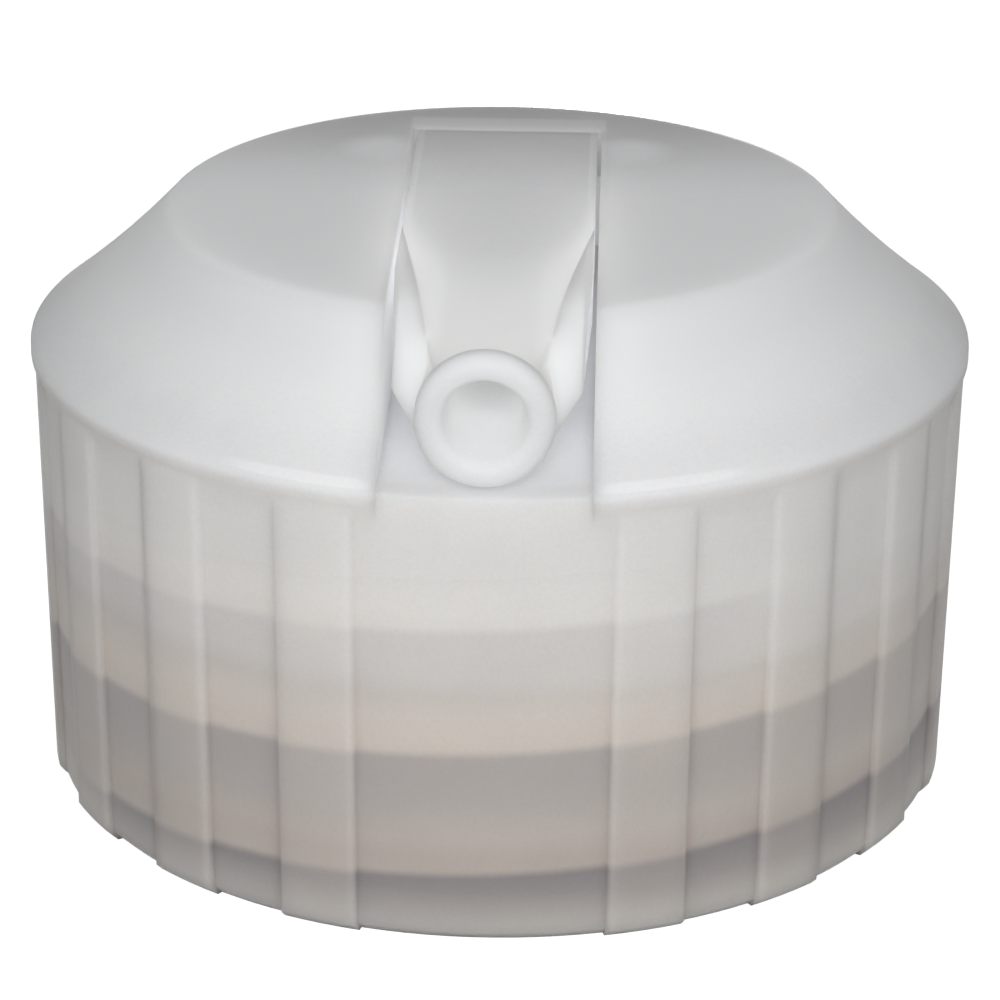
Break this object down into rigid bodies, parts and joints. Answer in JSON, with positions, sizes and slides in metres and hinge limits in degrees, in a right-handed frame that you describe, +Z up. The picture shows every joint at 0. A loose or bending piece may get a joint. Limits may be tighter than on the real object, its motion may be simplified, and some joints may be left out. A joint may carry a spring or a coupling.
{
  "type": "flip top bottle cap",
  "caption": "Screw-on bottle cap with a flip-up dispensing spout that folds flush into a slot across its flat top.",
  "frame": {"origin": "centre of the open bottom edge of the skirt", "axes": "+Z up the axis of the cap towards its deck, -Y towards the nozzle of the folded spout, +X to the right seen from the nozzle's side"},
  "size_m": [0.0316, 0.0312, 0.0198],
  "materials": {
    "cap_plastic": "natural translucent polypropylene, satin moulded surface",
    "spout_plastic": "natural translucent polypropylene, satin moulded surface"
  },
  "bodies": {
    "cap": {"cap_body": "cap_plastic"},
    "spout": {"flip_spout": "spout_plastic"}
  },
  "joints": [
    {"name": "spout_flip", "type": "hinge", "parent": "cap", "child": "spout", "pos_m": [0, 0.0057, 0.01757], "axis": [-1, 0, 0], "range_deg": [0, 90]}
  ]
}
